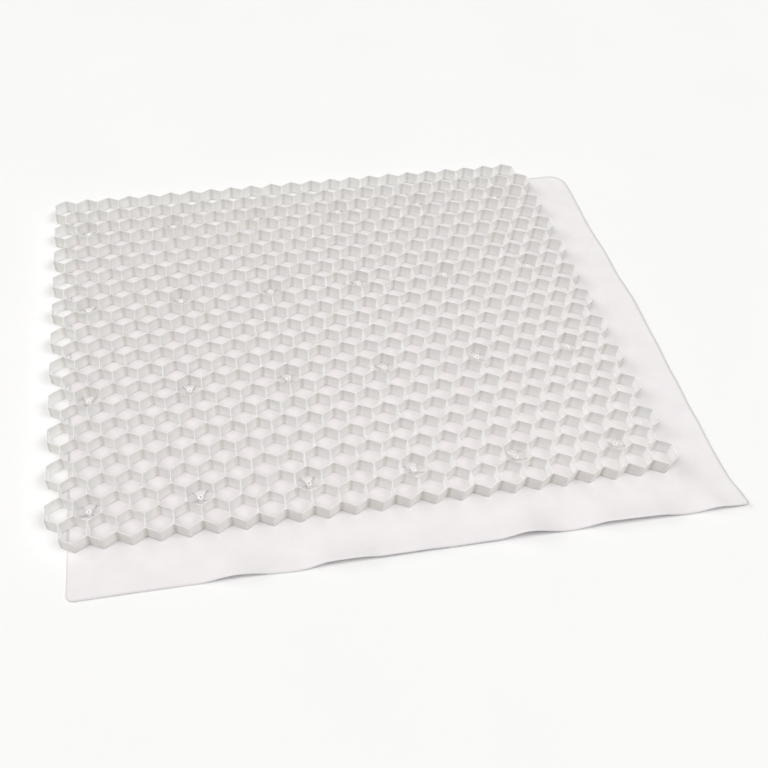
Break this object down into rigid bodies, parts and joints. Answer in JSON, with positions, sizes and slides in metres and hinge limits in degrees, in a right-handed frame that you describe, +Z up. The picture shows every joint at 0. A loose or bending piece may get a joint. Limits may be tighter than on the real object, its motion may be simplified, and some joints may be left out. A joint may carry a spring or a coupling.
{
  "type": "gravel grid",
  "caption": "White plastic honeycomb gravel stabiliser panel bonded on a nonwoven geotextile sheet that sticks out past the front and the right.",
  "frame": {"origin": "middle of the overall footprint, on the ground under the geotextile", "axes": "+X along the rows of cells, towards the side where the geotextile sticks out; +Y from the front edge, where the geotextile also sticks out, to the back; +Z up out of the cells"},
  "size_m": [1.2858, 1.0632, 0.031],
  "materials": {
    "grid_plastic": "satin, slightly see-through, moulded",
    "geotextile": "white nonwoven, thermally bonded"
  },
  "bodies": {
    "root": {"grid_front": "grid_plastic", "grid_middle": "grid_plastic", "grid_back": "grid_plastic", "geotextile": "geotextile"}
  },
  "joints": []
}
